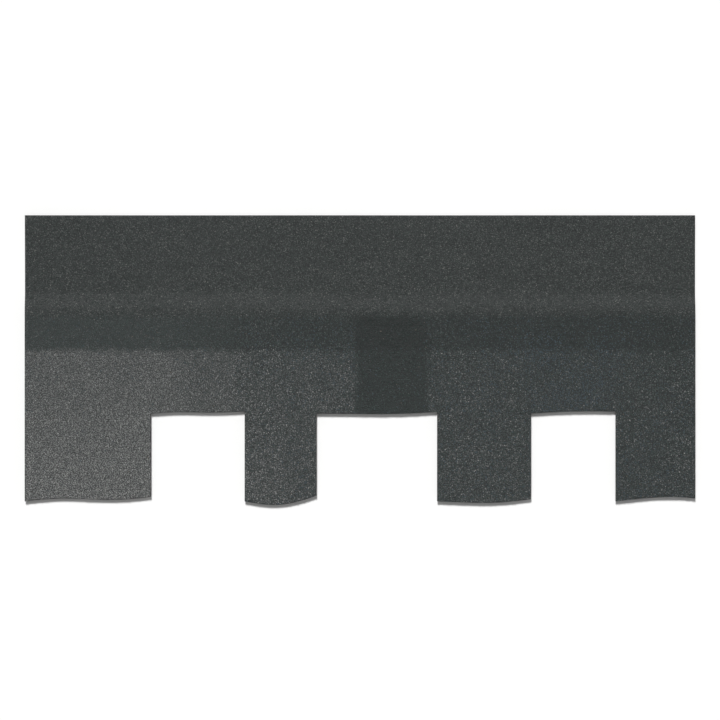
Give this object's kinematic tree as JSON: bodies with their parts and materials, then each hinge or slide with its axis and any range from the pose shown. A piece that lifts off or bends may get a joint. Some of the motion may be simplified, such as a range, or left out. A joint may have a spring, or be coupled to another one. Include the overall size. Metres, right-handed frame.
{
  "type": "laminated asphalt shingle",
  "caption": "Shake-look laminated asphalt shingle strip, with wide wavy tabs, open notches, a backing ply and dabs of sealant under the tabs.",
  "frame": {"origin": "middle of the strip's outline, on the surface that it lies on", "axes": "+X along the course, from the left end to the right with the butt edge nearest, +Y up the slope from the butt edge to the top edge, +Z out of the granule face"},
  "size_m": [1, 0.432, 0.0058],
  "materials": {
    "granule_face": "matte",
    "sanded_backing": "matte",
    "sealant": "satin"
  },
  "bodies": {
    "root": {"top_ply": "granule_face", "backing_ply": "sanded_backing", "sealant_dabs": "sealant"}
  },
  "joints": []
}
